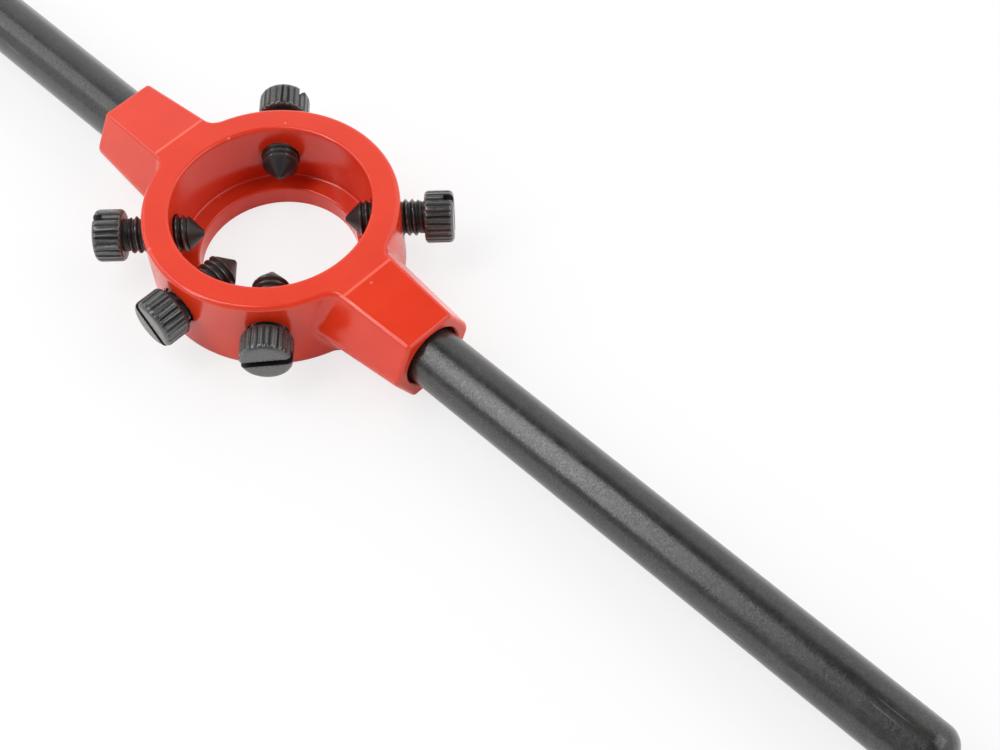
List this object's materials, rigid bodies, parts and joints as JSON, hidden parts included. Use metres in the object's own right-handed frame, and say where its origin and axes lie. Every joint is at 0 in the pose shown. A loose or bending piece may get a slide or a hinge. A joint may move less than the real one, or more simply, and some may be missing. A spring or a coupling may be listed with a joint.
{
  "type": "die stock handle",
  "caption": "Die stock: red cast ring with sloped six-sided arms, black screwed-in handle rods and knurled, slotted, cone-point screws that hold and adjust a round threading die.",
  "frame": {"origin": "centre of the die seat, where the ring's axis crosses the face that the die lies on", "axes": "+Z along the ring's axis out of the die's mouth, +X the way the right-hand handle rod points, -Y towards the screw that enters the die's slot"},
  "size_m": [0.2494, 0.0472, 0.014],
  "materials": {
    "red_enamel": "gloss",
    "black_oxide_rod": "satin",
    "black_oxide_screw": "satin"
  },
  "bodies": {
    "holder": {"die_holder": "red_enamel", "handle_left": "black_oxide_rod", "handle_right": "black_oxide_rod"},
    "slot_screw": {"slot_screw": "black_oxide_screw"},
    "closing_screw_left": {"closing_screw_left": "black_oxide_screw"},
    "closing_screw_right": {"closing_screw_right": "black_oxide_screw"},
    "holding_screw_left": {"holding_screw_left": "black_oxide_screw"},
    "holding_screw_right": {"holding_screw_right": "black_oxide_screw"}
  },
  "joints": [
    {"name": "slot_screw_travel", "type": "slide", "parent": "holder", "child": "slot_screw", "axis": [0, 1, 0], "range_m": [-0.0074, 0.0004]},
    {"name": "closing_screw_left_travel", "type": "slide", "parent": "holder", "child": "closing_screw_left", "axis": [0.7071, 0.7071, 0], "range_m": [-0.0047, 0.0031]},
    {"name": "closing_screw_right_travel", "type": "slide", "parent": "holder", "child": "closing_screw_right", "axis": [-0.7071, 0.7071, 0], "range_m": [-0.0074, 0.0004]},
    {"name": "holding_screw_left_travel", "type": "slide", "parent": "holder", "child": "holding_screw_left", "axis": [0.7071, -0.7071, 0], "range_m": [-0.00485, 0.00295]},
    {"name": "holding_screw_right_travel", "type": "slide", "parent": "holder", "child": "holding_screw_right", "axis": [-0.7071, -0.7071, 0], "range_m": [-0.0048, 0.003]}
  ]
}
